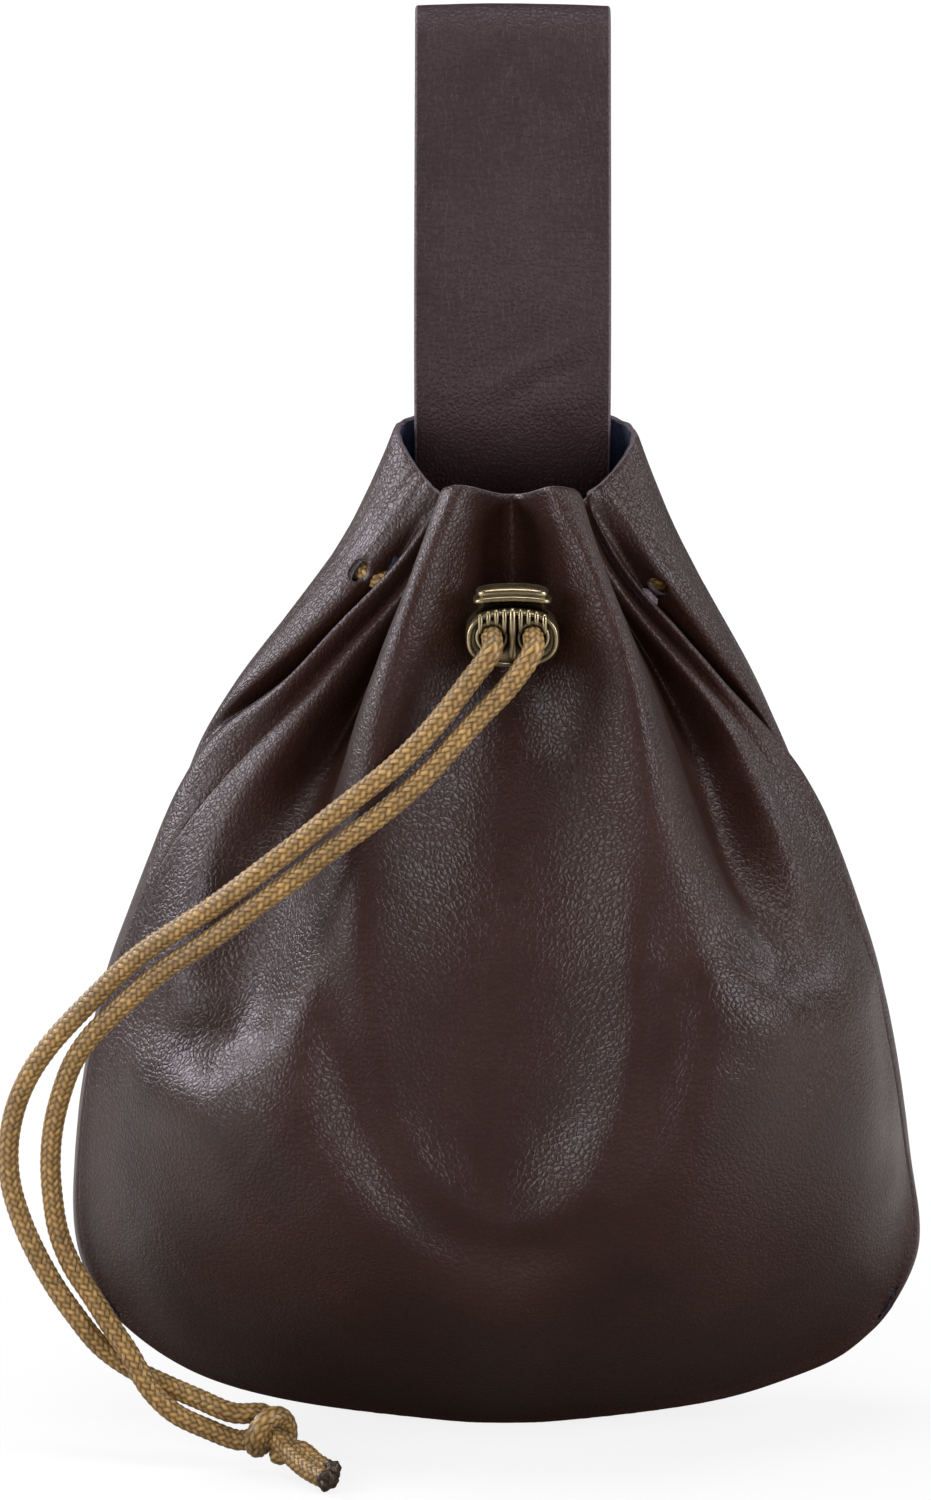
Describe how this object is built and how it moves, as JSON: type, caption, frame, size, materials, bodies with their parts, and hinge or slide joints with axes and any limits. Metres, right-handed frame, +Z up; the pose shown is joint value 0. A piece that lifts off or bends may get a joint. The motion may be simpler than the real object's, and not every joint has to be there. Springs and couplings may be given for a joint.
{
  "type": "drawstring dice bag",
  "caption": "Soft leather drawstring pouch for dice, gathered at the neck, with a wide belt loop, a braided cord and a brass spring cord lock.",
  "frame": {"origin": "on the floor plane under the middle of the pouch, on the plane of the side seam", "axes": "+Z up out of the mouth, -Y is the front with the cord lock, +X to the right of the front"},
  "size_m": [0.1572, 0.0865, 0.2432],
  "materials": {
    "leather": "soft satin sheen, fine pebbled grain",
    "strap_leather": "satin, fine pebbled grain",
    "thread": "waxed thread",
    "cord": "waxed round braid",
    "lock_brass": "antique brass, darkened recesses",
    "spring_steel": "bright spring wire"
  },
  "bodies": {
    "pouch": {"front_panel": "leather", "back_panel": "leather", "seam_thread": "thread", "loop_inner_tab": "strap_leather", "loop_outer_tab": "strap_leather", "loop_stitches": "thread", "drawstring_back": "cord"},
    "front_neck": {"front_neck": "leather", "drawstring_left": "cord", "drawstring_right": "cord"},
    "belt_loop": {"belt_loop": "strap_leather"},
    "cord_lock": {"lock_body": "lock_brass", "lock_spring": "spring_steel", "cord_lead_left": "cord", "cord_lead_right": "cord"},
    "lock_button": {"lock_button": "lock_brass"},
    "cord_tails": {"cord_tail_left": "cord", "cord_tail_right": "cord"},
    "cord_ends": {"cord_end_left": "cord", "cord_end_right": "cord", "cord_knot": "cord"}
  },
  "joints": [
    {"name": "mouth_open", "type": "slide", "parent": "pouch", "child": "front_neck", "axis": [0, -1, 0], "range_m": [0, 0.018]},
    {"name": "belt_loop_fold", "type": "hinge", "parent": "pouch", "child": "belt_loop", "pos_m": [0.0013, 0.0165, 0.175], "axis": [1, 0, 0], "range_deg": [-60, 60]},
    {"name": "lock_slide", "type": "slide", "parent": "front_neck", "child": "cord_lock", "axis": [0, -1, 0], "range_m": [0, 0.018]},
    {"name": "button_press", "type": "slide", "parent": "cord_lock", "child": "lock_button", "axis": [0, 0, -1], "range_m": [0, 0.0012], "stiffness_N_per_m": 400, "springref_m": -0.001, "deforming": ["lock_spring"]},
    {"name": "tail_lift", "type": "hinge", "parent": "cord_lock", "child": "cord_tails", "pos_m": [0.001, -0.0382, 0.14305], "axis": [-1, 0, 0], "range_deg": [0, 70]},
    {"name": "tail_end_swing", "type": "hinge", "parent": "cord_tails", "child": "cord_ends", "pos_m": [-0.0643, -0.03, 0.0825], "axis": [0, 1, 0], "range_deg": [0, 40]}
  ]
}
